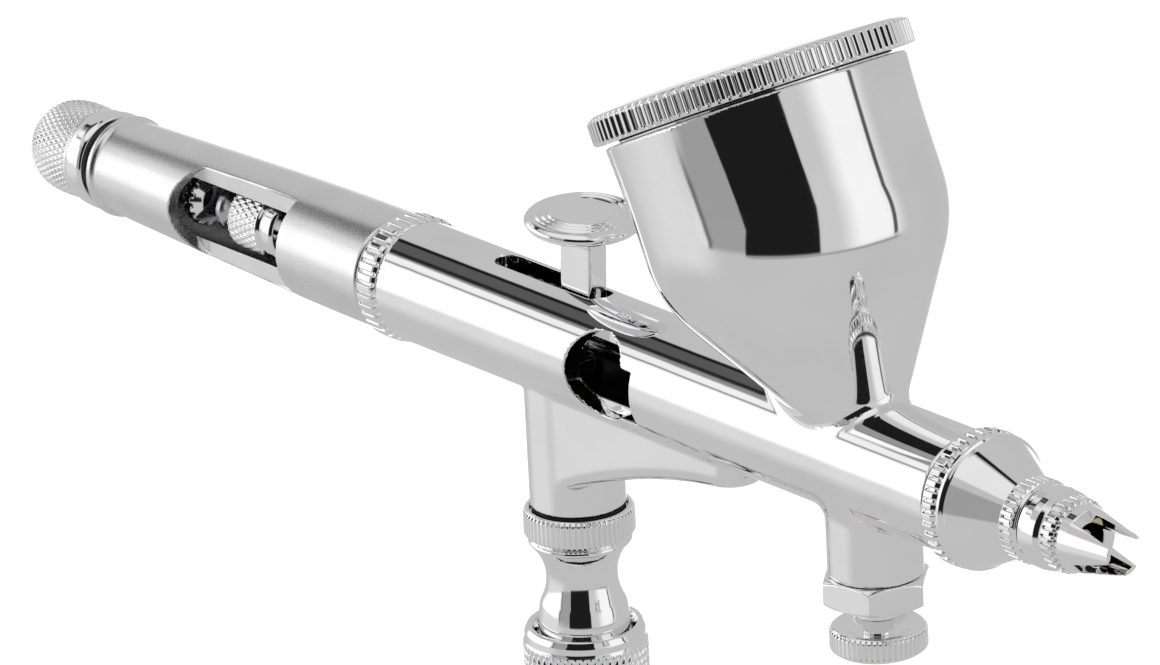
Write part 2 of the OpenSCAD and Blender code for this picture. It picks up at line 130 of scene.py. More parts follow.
def surface_net(field, lo, hi, step):
    """Quads over the zero surface of a field, with vertices and exact normals."""
    lo, hi = np.array(lo, float), np.array(hi, float)
    n = np.ceil((hi - lo) / step).astype(int) + 1
    axes = [lo[i] + step * np.arange(n[i]) for i in range(3)]
    value = np.empty(n, np.float32)
    for i in range(0, n[0], 48):
        value[i:i + 48] = field(*np.meshgrid(axes[0][i:i + 48], axes[1], axes[2], indexing="ij"))
    solid = value < 0
    corners = [(a, b, c) for a in (0, 1) for b in (0, 1) for c in (0, 1)]
    count = np.zeros(n - 1, np.uint8)
    for a, b, c in corners:
        count += solid[a:n[0] - 1 + a, b:n[1] - 1 + b, c:n[2] - 1 + c]
    cells = np.argwhere((count > 0) & (count < 8))
    index = np.full(n - 1, -1, np.int64)
    index[tuple(cells.T)] = np.arange(len(cells))
    total, hits = np.zeros((len(cells), 3)), np.zeros(len(cells))
    for corner in corners:
        for k in range(3):
            if corner[k]:
                continue
            other = list(corner)
            other[k] = 1
            va, vb = value[tuple((cells + corner).T)], value[tuple((cells + other).T)]
            cut = (va < 0) != (vb < 0)
            point = np.tile(np.array(corner, float), (len(cells), 1))
            point[:, k] = np.where(cut, va / np.where(cut, va - vb, 1), 0)
            total += point * cut[:, None]
            hits += cut
    verts = lo + (cells + total / hits[:, None]) * step
    quads = []
    for k in range(3):
        i, j = (k + 1) % 3, (k + 2) % 3
        first, second = [slice(None)] * 3, [slice(None)] * 3
        first[k], second[k] = slice(0, -1), slice(1, None)
        edge = np.argwhere(solid[tuple(first)] != solid[tuple(second)])
        edge = edge[(edge[:, i] > 0) & (edge[:, j] > 0) & (edge[:, i] < n[i] - 1) & (edge[:, j] < n[j] - 1)]
        ring = []
        for di, dj in ((1, 1), (0, 1), (0, 0), (1, 0)):
            cell = edge.copy()
            cell[:, i] -= di
            cell[:, j] -= dj
            ring.append(index[tuple(cell.T)])
        quad = np.stack(ring, 1)
        outward = solid[tuple(edge.T)]
        quad[~outward] = quad[~outward][:, ::-1]
        quads.append(quad)
    for _ in range(4):
        g = gradient(field, verts)
        d = field(*verts.T)[:, None] * g / np.maximum((g ** 2).sum(1), 0.2)[:, None]
        length = np.linalg.norm(d, axis=1)
        verts -= d * np.minimum(1, 0.4 * step / np.maximum(length, 1e-9))[:, None]
    return verts, np.concatenate(quads), gradient(field, verts)


def gradient(field, points, e=0.02):
    g = np.empty_like(points)
    for k in range(3):
        a, b = points.copy(), points.copy()
        a[:, k] += e
        b[:, k] -= e
        g[:, k] = (field(*a.T) - field(*b.T)) / (2 * e)
    return g


def rounded(points, soft=0.12, step=0.8, closed=True, turns=4):
    """A profile with its corners rounded over the length soft and its long sides divided."""
    pts = [np.array(p[:2], float) for p in points]
    cuts = [p[2] if len(p) > 2 else soft for p in points]
    n = len(pts)
    path = []
    for i in range(n):
        if not closed and i in (0, n - 1):
            path.append(pts[i])
            continue
        before, after = pts[i - 1] - pts[i], pts[(i + 1) % n] - pts[i]
        lb, la = np.linalg.norm(before), np.linalg.norm(after)
        a = pts[i] + before / lb * min(cuts[i], 0.49 * lb)
        b = pts[i] + after / la * min(cuts[i], 0.49 * la)
        for t in np.linspace(0, 1, turns + 1):
            path.append((1 - t) ** 2 * a + 2 * t * (1 - t) * pts[i] + t * t * b)
    if closed:
        path.append(path[0])
    out = [path[0]]
    for p, q in zip(path, path[1:]):
        parts = max(1, int(math.ceil(np.linalg.norm(q - p) / step)))
        out += [p + (q - p) * (k + 1) / parts for k in range(parts)]
    return np.array(out[:-1] if closed else out)


def lathe(points, around=128, relief=None, soft=0.12, step=0.8, closed=True, turns=4):
    """Turned form about local Z from a profile of (height, radius) rows.

    relief(angle, height, radius, along) is how far the surface moves out along the profile's normal. Open
    profiles start and end on the axis.
    """
    path = rounded(points, soft, step, closed, turns)
    ends = 0 if closed else 1
    inner = path[ends:len(path) - ends]
    nxt, prv = np.roll(path, -1, 0), np.roll(path, 1, 0)
    tangent = (nxt - prv)[ends:len(path) - ends]
    tangent /= np.maximum(np.linalg.norm(tangent, axis=1), 1e-9)[:, None]
    area = np.sum(path[:, 0] * nxt[:, 1] - nxt[:, 0] * path[:, 1])
    sign = 1.0 if area < 0 else -1.0
    out2 = np.stack([-tangent[:, 1], tangent[:, 0]], 1) * sign
    along = np.cumsum(np.linalg.norm(np.diff(inner, axis=0, prepend=inner[:1]), axis=1))
    angle = np.arange(around) * TAU / around
    h, r = inner[:, 0][:, None], inner[:, 1][:, None]
    move = relief(angle[None, :], h, r, along[:, None]) if relief else 0.0
    hh = h + out2[:, 0][:, None] * move + np.zeros((1, around))
    rr = r + out2[:, 1][:, None] * move + np.zeros((1, around))
    grid = np.stack([rr * np.cos(angle), rr * np.sin(angle), hh], 2)
    rows = len(inner)
    du = np.roll(grid, -1, 0) - np.roll(grid, 1, 0)
    if not closed:
        du[0], du[-1] = grid[1] - grid[0], grid[-1] - grid[-2]
    dv = np.roll(grid, -1, 1) - np.roll(grid, 1, 1)
    normal = np.cross(du, dv) * -sign
    verts, normals = grid.reshape(-1, 3), normal.reshape(-1, 3)
    i = np.arange(rows if closed else rows - 1)[:, None]
    j = np.arange(around)[None, :]
    k, m = (i + 1) % rows, (j + 1) % around
    quads = np.stack([i * around + j, i * around + m, k * around + m, k * around + j], 2).reshape(-1, 4)
    faces = [quads if sign > 0 else quads[:, ::-1]]
    if not closed:
        for end, row in ((0, 0), (-1, rows - 1)):
            pole = len(verts)
            verts = np.vstack([verts, [[0, 0, path[end][0]]]])
            normals = np.vstack([normals, [[0, 0, -1.0 if path[end][0] < inner[:, 0].mean() else 1.0]]])
            fan = np.stack([row * around + j[0], row * around + m[0], np.full(around, pole)], 1)
            flip = (end == 0) == (sign > 0)
            faces.append(fan[:, ::-1] if flip else fan)
    return verts, faces, normals


def coil(radius, wire, turns, length, per=28, sides=10):
    """Round wire wound about local Z from height 0, with its last half turns closed up flat."""
    n = int(per * turns)
    t = np.arange(n + 1) / n
    ramp = np.clip((t * turns - 0.5) / (turns - 1.0), 0, 1)
    a = t * turns * TAU
    centre = np.stack([radius * np.cos(a), radius * np.sin(a), wire + (length - 2 * wire) * ramp], 1)
    out = np.stack([np.cos(a), np.sin(a), 0 * a], 1)
    b = np.arange(sides) * TAU / sides
    up = np.array([0, 0, 1.0])
    normals = out[:, None] * np.cos(b)[None, :, None] + up * np.sin(b)[None, :, None]
    verts = (centre[:, None] + wire * normals).reshape(-1, 3)
    i, j = np.arange(n)[:, None], np.arange(sides)[None, :]
    m = (j + 1) % sides
    quads = np.stack([i * sides + j, (i + 1) * sides + j, (i + 1) * sides + m, i * sides + m], 2).reshape(-1, 4)
    caps = [np.arange(sides)[None, :], (n * sides + np.arange(sides))[None, ::-1]]
    return verts, [quads, caps[0], caps[1]], normals.reshape(-1, 3)


# ---------- relief on turned forms ----------

def window(t, lo, hi, soft=0.12):
    """1 between lo and hi, 0 outside, with soft ends."""
    return np.clip((t - lo) / soft, 0, 1) * np.clip((hi - t) / soft, 0, 1)


def flutes(count, depth, lo, hi, least=0.0, land=0.5):
    """Flat-topped teeth running along the axis, on surfaces of more than the least radius."""
    def relief(angle, h, r, along):
        off = 2 * np.abs((count * angle / TAU) % 1 - 0.5)
        return -depth * smooth((off - land) / (0.94 - land)) * window(h, lo, hi) * (r > least)
    return relief


def diamonds(count, pitch, depth, lo, hi, least=0.0):
    """Crossed helical grooves that leave small pyramids."""
    def relief(angle, h, r, along):
        a, b = count * angle / TAU + along / pitch, count * angle / TAU - along / pitch
        ridge = np.minimum(1 - np.abs(2 * (a % 1) - 1), 1 - np.abs(2 * (b % 1) - 1))
        return -depth * (1 - np.clip(1.6 * ridge, 0, 1)) * window(h, lo, hi, 0.3) * (r > least)
    return relief


def both(*parts):
    """Two or more reliefs on one form."""
    return lambda angle, h, r, along: sum(part(angle, h, r, along) for part in parts)


# ---------- materials ----------

def shader(name, color, metallic, rough, build, bore=None, **sockets):
    """A node material: build(tree helpers) returns the tint, gloss and height fields and the bump it wants.

    Surfaces nearer the barrel axis than bore get painted shade, a near-black tint for the shade inside the
    bore, and a rougher finish.
    """
    mat = bpy.data.materials.new(name)
    mat.use_nodes = True
    tree = mat.node_tree
    nodes, links = tree.nodes, tree.links
    bsdf = nodes["Principled BSDF"]
    bsdf.inputs["Metallic"].default_value = metallic
    for key, value in sockets.items():
        bsdf.inputs[key.replace("_", " ")].default_value = value
    coord = nodes.new("ShaderNodeTexCoord")

    def noise(scale, stretch=(1, 1, 1), detail=3.0, distortion=0.0):
        mapping = nodes.new("ShaderNodeMapping")
        mapping.inputs["Scale"].default_value = stretch
        links.new(coord.outputs["Object"], mapping.inputs["Vector"])
        tex = nodes.new("ShaderNodeTexNoise")
        tex.inputs["Scale"].default_value = scale
        tex.inputs["Detail"].default_value = detail
        tex.inputs["Distortion"].default_value = distortion
        links.new(mapping.outputs["Vector"], tex.inputs["Vector"])
        return tex.outputs["Fac"]

    def spread(source, low, high, start=0.35, stop=0.65):
        node = nodes.new("ShaderNodeMapRange")
        for key, value in zip(("From Min", "From Max", "To Min", "To Max"), (start, stop, low, high)):
            node.inputs[key].default_value = value
        links.new(source, node.inputs["Value"])
        return node.outputs["Result"]

    def total(a, b, weight):
        node = nodes.new("ShaderNodeMath")
        node.operation = "MULTIPLY_ADD"
        links.new(b, node.inputs[0])
        node.inputs[1].default_value = weight
        links.new(a, node.inputs[2])
        return node.outputs[0]

    tint, gloss, height, bump = build(noise, spread, total)
    ramp = nodes.new("ShaderNodeMix")
    ramp.data_type = "RGBA"
    ramp.inputs["A"].default_value = (*[c * 0.94 for c in color], 1)
    ramp.inputs["B"].default_value = (*color, 1)
    links.new(tint, ramp.inputs["Factor"])
    tone, gloss = ramp.outputs["Result"], spread(gloss, *rough)
    if bore:
        # painted shade: inside the bore radius the colour is mixed to near-black to stand in for shade in the
        # bore, and the roughness is raised
        place, flat, length = (nodes.new("ShaderNodeVectorMath") for _ in range(3))
        place.operation, flat.operation, length.operation = "SUBTRACT", "MULTIPLY", "LENGTH"
        place.inputs[1].default_value = ORIGIN
        flat.inputs[1].default_value = (0, 1, 1)
        links.new(coord.outputs["Object"], place.inputs[0])
        links.new(place.outputs[0], flat.inputs[0])
        links.new(flat.outputs[0], length.inputs[0])
        inside = spread(length.outputs["Value"], 1.0, 0.0, bore * MM, (bore + 0.15) * MM)
        mix = nodes.new("ShaderNodeMix")
        mix.data_type = "RGBA"
        mix.inputs["B"].default_value = (0.09, 0.085, 0.08, 1)
        links.new(inside, mix.inputs["Factor"])
        links.new(tone, mix.inputs["A"])
        tone = mix.outputs["Result"]
        rougher = nodes.new("ShaderNodeMix")
        rougher.inputs["B"].default_value = 0.42
        links.new(inside, rougher.inputs["Factor"])
        links.new(gloss, rougher.inputs["A"])
        gloss = rougher.outputs["Result"]
    links.new(tone, bsdf.inputs["Base Color"])
    links.new(gloss, bsdf.inputs["Roughness"])
    if height is not None:
        node = nodes.new("ShaderNodeBump")
        node.inputs["Strength"].default_value = bump[0]
        node.inputs["Distance"].default_value = bump[1]
        links.new(height, node.inputs["Height"])
        links.new(node.outputs["Normal"], bsdf.inputs["Normal"])
    return mat


def polished(noise, spread, total):
    """Plated mirror: faint unevenness of the polish, wiping haze and hairline marks."""
    marks = noise(900, (1.0, 0.12, 0.12), 4.0)
    haze = noise(120, detail=4.0, distortion=0.4)
    height = total(noise(160, detail=2.0), marks, 0.05)
    return spread(haze, 0.2, 1.0), total(haze, marks, 0.25), height, (0.035, 0.0004)


def blasted(noise, spread, total):
    """Fine blasted plating: even grain with very faint turning marks."""
    grain = noise(5200, detail=2.0)
    turning = noise(2400, (1.0, 0.03, 0.03), 2.0)
    height = total(grain, turning, 0.5)
    return spread(noise(180, detail=3.0), 0.0, 1.0), grain, height, (0.02, 0.00004)


def ground(noise, spread, total):
    """Ground stainless: fine circumferential lines."""
    lines = noise(3000, (1.0, 0.04, 0.04), 3.0)
    return spread(noise(300), 0.0, 1.0), lines, total(lines, noise(1500), 0.4), (0.15, 0.00005)


def moulded(noise, spread, total):
    """Moulded rubber or PTFE: soft mottling with a fine matte grain."""
    grain = noise(4000, detail=2.0)
    return spread(noise(500), 0.0, 1.0), grain, grain, (0.2, 0.00005)


CHROME = shader("chrome_plate", (0.93, 0.93, 0.935), 1.0, (0.012, 0.05), polished)
SATIN = shader("satin_plate", (0.88, 0.88, 0.885), 1.0, (0.24, 0.3), blasted)
STEEL = shader("ground_steel", (0.62, 0.62, 0.64), 1.0, (0.14, 0.26), ground)
BRASS = shader("plated_brass", (0.80, 0.66, 0.42), 1.0, (0.12, 0.24), ground)
RUBBER = shader("black_rubber", (0.018, 0.018, 0.02), 0.0, (0.45, 0.65), moulded)
PTFE = shader("white_ptfe", (0.86, 0.86, 0.83), 0.0, (0.35, 0.5), moulded, Subsurface_Weight=0.1)
# chrome whose bore surfaces carry painted shade, a near-black tint
CHROME_BORE_SHADE = shader("chrome_plate_painted_bore_shade", (0.93, 0.93, 0.935), 1.0, (0.012, 0.05), polished, 4.2)
FINISH = {"chrome": CHROME, "satin": SATIN, "steel": STEEL, "brass": BRASS, "rubber": RUBBER, "ptfe": PTFE}
BODY_OF = {node: body for body, members in frame["record"]["behaviour"]["bodies"].items() for node in members}

ALONG_X = Matrix.Rotation(math.radians(90), 4, "Y")
UPRIGHT = Matrix.Identity(4)


def add(node, shape, slot, place=UPRIGHT, finish=None):
    """Makes the piece that stands for a CAD node and hands it to the node's body."""
    verts, faces, normals = shape
    faces = faces if isinstance(faces, list) else [faces]
    turn = np.array(place)
    verts = (verts @ turn[:3, :3].T + turn[:3, 3]) * MM + np.array(ORIGIN)
    normals = normals @ turn[:3, :3].T
    normals = normals / np.maximum(np.linalg.norm(normals, axis=1), 1e-12)[:, None]
    mesh = bpy.data.meshes.new(node)
    mesh.from_pydata(verts.tolist(), [], [f for block in faces for f in block.tolist()])
    mesh.shade_smooth()
    mesh.normals_split_custom_set_from_vertices(normals.tolist())
    mesh.materials.append(finish or FINISH[slot])
    obj = bpy.data.objects.new(node + "_look", mesh)
    bpy.context.scene.collection.objects.link(obj)
    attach(obj, BODY_OF[node])
    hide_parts(node)
    return obj


# ---------- cup and barrel, which share one fillet ----------

CUP_X, CUP_TILT = 45.2, math.radians(25.5)
CUP_S, CUP_C = math.sin(CUP_TILT), math.cos(CUP_TILT)
CONE = math.radians(32.9)
CUP_TOP = 35.1
CHANNEL_R = 2.1
MAC_X = 44.6
ON_CUP = Matrix.Translation((CUP_X, 0, 0)) @ Matrix.Rotation(-CUP_TILT, 4, "Y")


def cup_axes(x, y, z):
    """Height along the cup's axis and distance from it."""
    h = (CUP_X - x) * CUP_S + z * CUP_C
    return h, np.hypot(y, (x - CUP_X) * CUP_C + z * CUP_S)


def cup_outside(x, y, z):
    h, r = cup_axes(x, y, z)
    cone = (r - (h + 2.8) * math.tan(CONE)) * math.cos(CONE)
    wall = r - 14.55 - 0.3 * np.clip((h - 26) / 9.1, 0, 1.1) ** 2
    return smax(cone, wall, 2.2)


def barrel(x, y, z):
    return rod(y, z, x, 6.0, -22.9, 58.7, 0.3)


def joined(x, y, z):
    return smin(barrel(x, y, z), cup_outside(x, y, z), 1.3)


def tucked(d, beyond):
    """Carries a piece a little past the seam it shares, sinking under its neighbour."""
    return np.maximum(d + 0.04 * np.clip(beyond / 0.15, 0, 1), beyond - 0.4)


def paint_cup(x, y, z):
    h, r = cup_axes(x, y, z)
    bowl = (r - 2.6 - 0.732 * (h - 5.5)) * 0.807
    wall = r - 13.5 - 0.3 * np.clip((h - 26) / 9.1, 0, 1.1) ** 2
    hollow = smax(smax(bowl, wall, 1.3), 5.2 - h, 0.3)
    hollow = smin(hollow, np.maximum(r - CHANNEL_R, h - 6), 0.2)
    shape = smax(joined(x, y, z), h - CUP_TOP, 0.35)
    shape = smax(shape, -hollow, 0.2)
    shape = tucked(shape, (cup_outside(x, y, z) - barrel(x, y, z)) * 0.6)
    return np.maximum(shape, 3.2 - h)


def web(x, y, z):
    """Rib that carries the air way from the valve boss forward under the barrel."""
    under = (-15.57 + 0.521 * x - 0.0089 * x * x - z) * 0.93
    half = np.interp(x, [-1, 6, 16, 24, 30], [4.1, 4.1, 3.75, 3.15, 3.15])
    plan = np.hypot(np.maximum(x - 24.2, 0), y) - half
    return np.maximum(smax(smax(under, plan, 1.6), z + 2, 0.2), -x)


def body_shell(x, y, z):
    d = smin(joined(x, y, z), smin(rod(x, y, z, 4.7, -16.9, -2, 0.3), web(x, y, z), 0.35), 0.35)
    d = smin(d, rod(x - MAC_X, y, z, 4.55, -11.6, 0, 0.3), 1.3)
    d = np.minimum(d, rod(y, z, x, 4.9, -33.0, -22.5, 0.3))
    d = np.minimum(d, rod(y, z, x, 5.0, 58.0, 62.8, 0.3))
    d = tucked(d, (barrel(x, y, z) - cup_outside(x, y, z)) * 0.6)
    d = smax(d, -rod(y, z, x, 4.1, -20.0, 17.2, 0.3), 0.15)
    back = rod(y, z, x, 3.4, -40.0, -19.0, 0.1)
    front = rod(y, z, x, 2.4, 16.0, 27.0, 0.1)
    nose = smin(rod(y, z, x, 2.42, 56.5, 70.0, 0.1), rod(y, z, x, 1.9, 29.5, 60.0, 0.1), 0.05)
    d = smax(d, -np.minimum(np.minimum(back, front), nose), 0.15)
    slot = np.maximum(np.hypot(np.maximum(np.abs(x + 2.0) - 6.75, 0), y) - 1.45, -z)
    d = smax(d, -slot, 0.22)
    d = smax(d, -side_window(x, y, z), 0.18)
    d = smax(d, -rod(x, y, z, 3.0, -20.0, 0.0, 0.1), 0.15)
    d = smax(d, -rod(x, y, z, 3.4, -20.0, -14.2, 0.1), 0.15)
    d = smax(d, -rod(x - MAC_X, y, z, 3.2, -14.0, -7.6, 0.1), 0.15)
    h, r = cup_axes(x, y, z)
    return smax(d, -np.maximum(r - CHANNEL_R, between(h, 0.5, 9)), 0.15)


def side_window(x, y, z):
    """Opening in the near wall of the trigger chamber."""
    disc = np.hypot(x - 10.7, z - 0.2) - 4.3
    lower = np.maximum(between(x, 10.7, 16.1), between(z, -3.1, 2.2))
    upper = np.hypot(np.maximum(np.abs(x - 11.65) - 0.95, 0), np.maximum(z - 2.4, 0)) - 1.5
    upper = np.maximum(upper, 1.0 - z)
    return np.maximum(smin(disc, smin(lower, upper, 0.15), 0.3), y + 3.0)


add("body_shell", surface_net(body_shell, (-33.6, -6.6, -17.5), (63.4, 6.6, 7.6), 0.25), "chrome",
    finish=CHROME_BORE_SHADE)
add("paint_cup", surface_net(paint_cup, (14.0, -15.2, 2.2), (56.5, 15.2, 40.0), 0.26), "chrome")

TEETH = 96
RIM = flutes(TEETH, 0.45, CUP_TOP + 0.4, CUP_TOP + 2.95, 14.0, 0.42)
# height over the cup's rim and radius
LID = [(-2.6, 12.4), (-2.6, 13.0), (-2.2, 13.35), (-1.75, 13.35), (-1.75, 12.85), (-0.75, 12.85),
    (-0.75, 13.35), (0.3, 13.35), (0.3, 15.4), (0.6, 15.78), (2.7, 15.78), (3.15, 15.05), (3.45, 12.5),
    (3.65, 0.8), (2.4, 0.8), (1.6, 12.4)]
add("cup_lid", lathe([(CUP_TOP + h, r) for h, r in LID], TEETH * 8, RIM, 0.16, 0.5), "chrome", ON_CUP)
add("lid_seal", lathe([(CUP_TOP - 1.25 + 0.42 * math.cos(a), 13.3 + 0.42 * math.sin(a))
    for a in np.linspace(0, TAU, 13)[:-1]], 160, soft=9), "rubber", ON_CUP)

# ---------- rings, cap and crown ----------

add("rear_ring", lathe([
    (-25.75, 4.92), (-25.75, 5.9), (-25.4, 6.33), (-23.4, 6.33), (-22.92, 5.95), (-22.92, 4.92)], 36 * 14,
    flutes(36, 0.42, -25.7, -23.0, 5.2, 0.62), 0.25, 0.3), "chrome", ALONG_X)

add("nozzle_cap", lathe([
    (59.0, 5.05), (59.0, 6.2), (59.4, 6.65), (60.6, 6.65), (61.0, 6.2), (61.05, 6.1), (61.15, 6.5),
    (61.6, 6.55), (61.85, 6.2), (62.15, 6.1), (66.85, 3.75), (67.0, 3.75), (67.15, 4.08), (68.6, 4.08),
    (68.75, 3.7), (69.0, 3.6), (69.05, 2.9), (71.9, 2.9), (71.9, 2.1), (68.5, 2.1), (67.0, 2.6), (64.4, 4.3),
    (63.0, 5.05)], 38 * 16,
    both(flutes(38, 0.36, 59.02, 61.0, 5.8), flutes(36, 0.34, 67.1, 68.7, 3.8)), 0.12, 0.3), "chrome", ALONG_X)

# the crown's three notches, from the near side towards the top
NOTCHES = [math.radians(110.5 + 120 * k) for k in range(3)]


def crown(x, y, z):
    """Three prongs round the needle tip, on a ring of 28 teeth."""
    r = np.hypot(y, z)
    off = 2 * np.abs((28 * np.arctan2(z, y) / TAU) % 1 - 0.5)
    rr = r + 0.34 * smooth((off - 0.45) / 0.5) * window(x, 72.2, 73.85, 0.15) * (r > 3)
    d = polygon(x, rr, [(69.2, 2.95), (69.2, 3.5), (69.5, 3.85), (70.1, 3.97), (70.9, 3.97), (71.6, 3.85),
        (72.0, 3.5), (72.2, 3.45), (72.4, 3.62), (73.45, 3.62), (73.75, 3.3), (73.85, 3.0), (74.15, 3.2),
        (75.0, 3.1), (79.9, 2.12), (79.9, 1.72), (72.15, 1.72), (72.15, 2.95)])
    for turn in NOTCHES:
        along = y * math.cos(turn) + z * math.sin(turn)
        across = np.abs(z * math.cos(turn) - y * math.sin(turn))
        notch = np.maximum(np.maximum(across - 0.95 - (x - 75.2) * 0.0686, -along), 75.2 - x)
        d = smax(d, -notch, 0.1)
    return d


add("needle_cap", surface_net(crown, (68.9, -4.3, -4.3), (80.3, 4.3, 4.3), 0.085), "chrome")


def hexagon(flat, lo, hi):
    """Makes the round surface between two heights six-sided."""
    def relief(angle, h, r, along):
        a = (angle + TAU / 12) % (TAU / 6) - TAU / 12
        return (flat / np.cos(a) - r) * ((h > lo) & (h < hi) & (r > flat - 0.2))
    return relief


add("fluid_nozzle", lathe([
    (57.0, 1.2), (57.0, 2.4), (63.15, 2.4), (63.2, 2.62), (65.0, 2.62), (65.02, 1.9), (68.0, 1.7), (74.4, 0.85),
    (74.4, 0.34), (70.0, 0.85), (64.9, 1.2)], 96, hexagon(2.6, 63.17, 65.01), 0.05, 0.5), "brass", ALONG_X)
add("cap_o_ring", lathe([(58.72, 5.05), (58.72, 5.75), (58.98, 5.75), (58.98, 5.05)], 128, soft=0.1), "rubber",
    ALONG_X)

# ---------- needle, guide and nut ----------

add("needle", lathe([(-54.0, 0), (-54.0, 1.5), (-53.5, 2.3), (-52.8, 2.3), (-52.2, 1.3), (-51.5, 1.05),
    (-51.5, 0.6), (66.0, 0.6), (72.4, 0.3), (77.0, 0.04), (77.0, 0)], 48, soft=0.1, step=3.0, closed=False),
    "steel", ALONG_X)


def needle_guide(x, y, z):
    d = smin(rod(y, z, x, 2.6, -4.3, -2.6, 0.3), rod(y, z, x, 1.75, -48.4, -4.2, 0.15), 0.2)
    slits = np.minimum(np.abs(y), np.abs(z)) - 0.25
    slits = np.maximum(slits, x + 41.0)
    return smax(smax(d, -slits, 0.1), -(np.hypot(y, z) - 0.62), 0.1)


add("needle_guide", surface_net(needle_guide, (-48.7, -2.9, -2.9), (-2.3, 2.9, 2.9), 0.14), "steel")
add("needle_spring", coil(2.6, 0.28, 11, 17.2), "steel", Matrix.Translation((-21.6, 0, 0)) @ ALONG_X)
add("tension_screw", lathe([
    (-40.4, 1.82), (-40.4, 3.2), (-40.0, 3.62), (-36.5, 3.62), (-36.1, 3.35), (-21.8, 3.35), (-21.8, 1.82)],
    36 * 8, flutes(36, 0.28, -40.3, -36.2, 3.0), 0.12, 0.4), "satin", ALONG_X)
add("chuck_nut", lathe([
    (-51.0, 0.68), (-51.0, 2.6), (-50.1, 3.4), (-45.6, 3.4), (-45.35, 3.0), (-44.95, 3.0), (-44.7, 3.3),
    (-43.5, 3.3), (-43.2, 3.0), (-43.2, 1.81), (-48.7, 1.81), (-48.0, 0.68)],
    360, diamonds(30, 0.72 * 2, 0.16, -50.3, -45.6, 3.2), 0.1, 0.09), "chrome", ALONG_X)

# ---------- trigger ----------


def trigger_lever(x, y, z):
    plate = polygon(x, z, [(5.25, 12.3), (4.7, 4.4), (4.5, 2.6), (4.1, 0.4), (2.6, -1.9), (2.2, -4.3),
        (1.3, -5.6), (-0.9, -5.6), (0.3, -4.0), (1.75, -2.9), (1.75, 0.2), (0.85, 1.6), (0.75, 3.4),
        (0.25, 4.6), (0.75, 12.3)])
    d = smax(plate, np.abs(y) - 1.15, 0.35)
    cheeks = polygon(x, z, [(4.4, 2.2), (4.1, 0.4), (3.0, -1.3), (1.75, -1.3), (1.75, 0.2), (0.85, 1.6),
        (0.75, 3.5)])
    d = smin(d, smax(cheeks, np.abs(y) - 1.8, 0.25), 0.2)
    d = smin(d, rod(x, z + 5.4, y, 1.6, -1.15, 1.15, 0.2), 0.2)
    flare = smax(np.hypot(np.maximum(np.abs(x - 3.0) - 1.2, 0), y) - 1.2, between(z, 11.3, 12.4), 0.3)
    d = smin(d, flare, 0.9)
    gap = polygon(x, z, [(-2, -1.5), (2.7, -1.5), (6, -2.9), (6, 2.8), (4.2, 2.9), (0, 3.4), (-2, 3.4)])
    gap = np.maximum(gap, np.abs(y) - 0.95)
    pin = np.hypot(x, z + 5.4) - 0.55
    return smax(smax(d, -gap, 0.1), -pin, 0.1)


add("trigger_lever", surface_net(trigger_lever, (-2.2, -2.6, -7.4), (6.0, 2.6, 12.8), 0.13), "chrome")
BUTTON = Matrix.Translation((3.05, 0, 11.6)) @ Matrix.Rotation(math.radians(4), 4, "Y")
RIDGES = [(2.16 + 0.03 * k + (0.16 if odd else -0.2), 4.95 - 0.62 * k - (0.31 if odd else 0.02), 0.14)
    for k in range(3) for odd in (False, True)]
add("trigger_button", lathe([
    (0.15, 0), (0.15, 2.9, 0.8), (0.38, 4.6, 0.6), (0.85, 5.5, 0.3), (1.28, 5.8, 0.2), (1.62, 5.72, 0.15),
    (2.0, 5.3, 0.15)] + RIDGES + [(2.1, 2.9, 0.4), (1.95, 1.6, 0.8), (1.9, 0)],
    160, soft=0.1, step=0.12, closed=False), "chrome", BUTTON)


def aux_lever(x, y, z):
    d = smax(rod(y, z, x, 3.55, -2.0, -1.1, 0.15), np.maximum(np.abs(y) - 2.6, -2.6 - z), 0.2)
    d = smin(d, rod(x + 1.2, z + 2.6, y, 0.95, -2.2, 2.2, 0.1), 0.15)
    fork = np.maximum(np.abs(y) - 1.3, -0.9 - z)
    return smax(smax(d, -fork, 0.15), -(np.hypot(x + 1.2, z + 2.6) - 0.55), 0.08)


add("aux_lever", surface_net(aux_lever, (-2.5, -3.0, -3.9), (-0.1, 3.0, 3.9), 0.12), "steel")

# ---------- handle and needle stop ----------


def handle(x, y, z):
    u = np.clip((-27 - x) / 43.4, 0, 1.05)
    tube = smax(np.hypot(y, z) - 5.94 + 1.9 * u ** 2 - 0.82 * u ** 3, between(x, -71.0, -26.1), 0.5)
    tube = smin(tube, rod(y, z, x, 5.2, -71.4, -70.7, 0.3), 0.7)
    bore = np.minimum(rod(y, z, x, 4.0, -64.0, -33.4, 0.3), rod(y, z, x, 4.95, -33.5, -25.0, 0.1))
    bore = np.minimum(bore, rod(y, z, x, 1.56, -73.0, -63.0, 0.1))
    d = smax(tube, -bore, 0.12)
    plan = np.where(x < -52.4, np.hypot(x + 52.4, z) - 5.05, np.maximum(np.abs(z) - 5.05, x + 39.1))
    return smax(d, -smax(plan, y + 2.6, 0.15), 0.12)


add("handle", surface_net(handle, (-71.9, -6.3, -6.3), (-25.6, 6.3, 6.3), 0.2), "satin")

